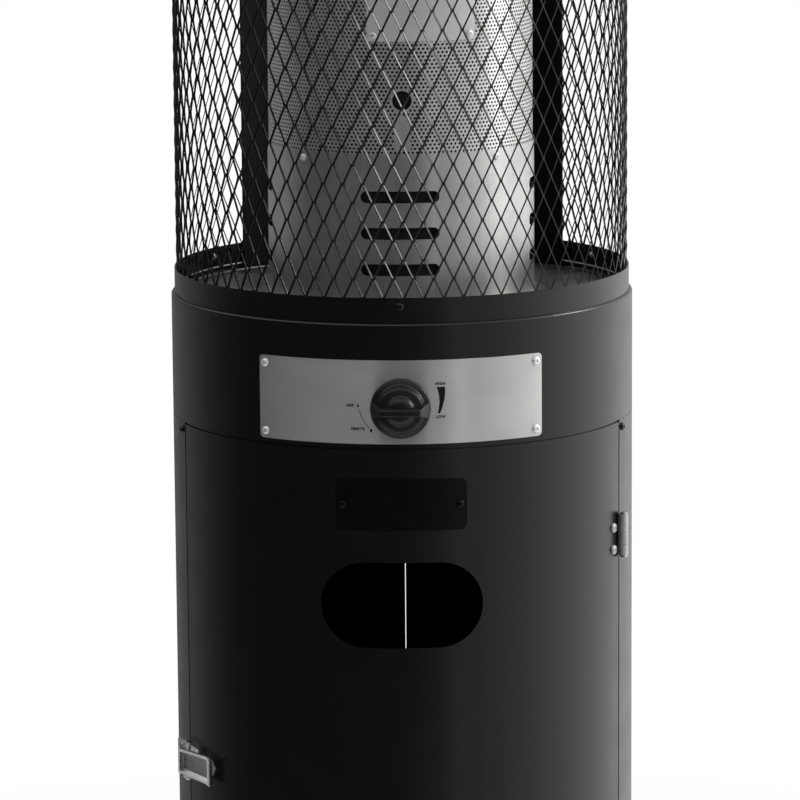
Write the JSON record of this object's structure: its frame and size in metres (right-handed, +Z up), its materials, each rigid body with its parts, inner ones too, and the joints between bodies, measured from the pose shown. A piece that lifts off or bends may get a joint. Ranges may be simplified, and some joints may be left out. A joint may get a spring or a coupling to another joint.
{
  "type": "gas patio heater",
  "caption": "Round free-standing gas area heater: black bottle cabinet with a hinged latched door, a control panel with one knob, and a burner inside a diamond mesh guard.",
  "frame": {"origin": "on the floor under the heater's upright axis", "axes": "+Z up, the control panel and door face -Y, +X to the right seen from the front"},
  "size_m": [0.4655, 0.4986, 1.368],
  "materials": {
    "black_paint": "satin",
    "black_plastic": "satin",
    "black_rubber": "matte",
    "plated_steel": "polished",
    "brushed_panel": "brushed",
    "sheet_steel": "satin",
    "brass": "satin",
    "white_ceramic": "gloss"
  },
  "bodies": {
    "frame": {"base_pan": "black_paint", "wheel_brackets": "black_paint", "cabinet_side_left": "black_paint", "cabinet_side_right": "black_paint", "cabinet_screws": "black_paint", "control_housing": "black_paint", "guard_ring": "black_paint", "ring_screws": "black_paint", "guard_mesh_front": "black_paint", "guard_mesh_front_right": "black_paint", "guard_mesh_rear_right": "black_paint", "guard_mesh_rear": "black_paint", "guard_mesh_rear_left": "black_paint", "guard_mesh_front_left": "black_paint", "guard_posts": "black_paint", "guard_top_ring": "black_paint", "top_cap": "black_paint", "tilt_switch": "black_plastic", "axle_caps": "black_plastic", "base_feet": "black_rubber", "wheel_axle": "plated_steel", "hinge_frame_leaves": "plated_steel", "hinge_pins": "plated_steel", "latch_keeper": "plated_steel", "control_panel": "brushed_panel", "panel_screws": "brushed_panel", "housing_floor": "sheet_steel", "valve_bracket": "sheet_steel", "deck_plate": "sheet_steel", "burner_pot": "sheet_steel", "burner_gauze": "sheet_steel", "burner_venturi": "sheet_steel", "pilot_bracket": "sheet_steel", "air_sleeve": "sheet_steel", "emitter_screen": "sheet_steel", "emitter_lid": "sheet_steel", "emitter_plate": "sheet_steel", "emitter_screws": "sheet_steel", "gas_valve": "brass", "gas_inlet": "brass", "gas_pipe": "brass", "pilot_tube": "brass", "thermocouple": "brass", "ignition_lead": "white_ceramic"},
    "door": {"door_panel": "black_paint", "name_plate": "black_plastic", "name_plate_rivets": "black_plastic", "hinge_door_leaves": "plated_steel", "hinge_screws": "black_paint", "latch_base": "plated_steel", "latch_pin": "plated_steel"},
    "latch_lever": {"latch_lever": "plated_steel"},
    "latch_loop": {"latch_loop": "plated_steel"},
    "valve_push": {"valve_plunger": "brass"},
    "knob": {"control_knob": "black_plastic", "valve_spindle": "brass"},
    "wheel_left": {"wheel_left": "black_rubber"},
    "wheel_right": {"wheel_right": "black_rubber"}
  },
  "joints": [
    {"name": "door_hinge", "type": "hinge", "parent": "frame", "child": "door", "pos_m": [0.21859, -0.08655, 0.403], "axis": [0, 0, 1], "range_deg": [0, 120]},
    {"name": "latch_lever_pivot", "type": "hinge", "parent": "door", "child": "latch_lever", "pos_m": [-0.2211, -0.09714, 0.404], "axis": [0, 0, -1], "range_deg": [0, 110]},
    {"name": "latch_loop_pivot", "type": "hinge", "parent": "latch_lever", "child": "latch_loop", "pos_m": [-0.21321, -0.10376, 0.404], "axis": [0, 0, -1], "range_deg": [-110, 0]},
    {"name": "valve_push", "type": "slide", "parent": "frame", "child": "valve_push", "axis": [0, 1, 0], "range_m": [0, 0.004], "stiffness_N_per_m": 900, "springref_m": -0.003},
    {"name": "knob_turn", "type": "hinge", "parent": "valve_push", "child": "knob", "pos_m": [0, -0.23655, 0.784], "axis": [0, -1, 0], "range_deg": [0, 210]},
    {"name": "wheel_left_spin", "type": "hinge", "parent": "frame", "child": "wheel_left", "pos_m": [-0.107, 0.196, 0.0285], "axis": [1, 0, 0], "continuous": true},
    {"name": "wheel_right_spin", "type": "hinge", "parent": "frame", "child": "wheel_right", "pos_m": [0.107, 0.196, 0.0285], "axis": [1, 0, 0], "continuous": true}
  ],
  "couplings": [
    {"joint": "latch_loop_pivot", "follows": "latch_lever_pivot", "ratio": -1}
  ]
}
